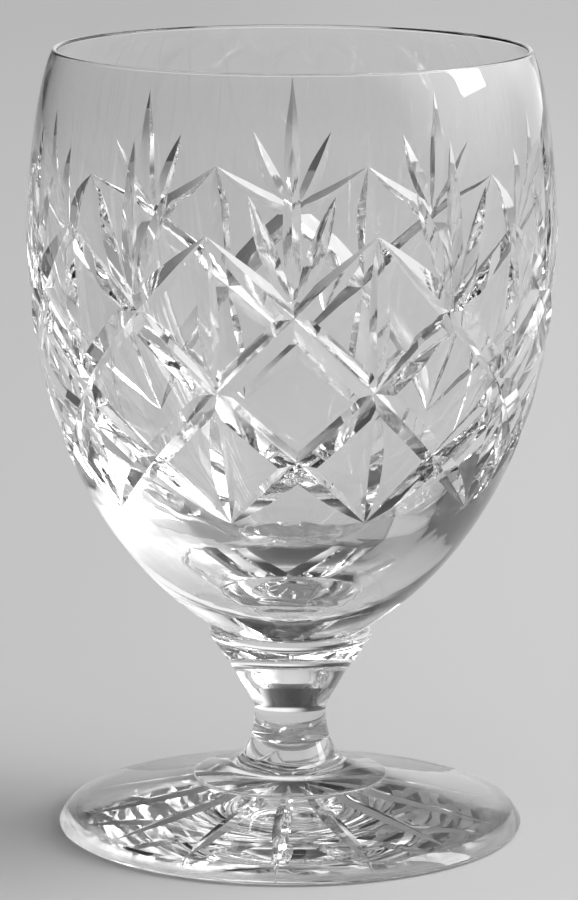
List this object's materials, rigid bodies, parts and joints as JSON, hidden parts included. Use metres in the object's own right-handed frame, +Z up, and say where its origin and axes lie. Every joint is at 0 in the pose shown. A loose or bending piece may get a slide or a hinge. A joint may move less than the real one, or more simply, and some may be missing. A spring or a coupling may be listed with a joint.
{
  "type": "stemmed gin glass",
  "caption": "Short-stemmed clear crystal goblet: ovoid bowl wheel-cut in diamonds and fans, a collar above and below a waisted stem, and a wide round foot to stand on.",
  "frame": {"origin": "centre of the plane that the foot's resting ring stands on", "axes": "+Z up along the glass's axis, from the foot to the rim; -Y faces the picture's viewer"},
  "size_m": [0.0866, 0.0866, 0.13],
  "materials": {
    "crystal": "clear polished crystal, with fine wheel marks left in the cuts and light wear on the resting ring"
  },
  "bodies": {
    "root": {"foot": "crystal", "foot_collar": "crystal", "stem": "crystal", "bowl_collar": "crystal", "bowl": "crystal"}
  },
  "joints": []
}
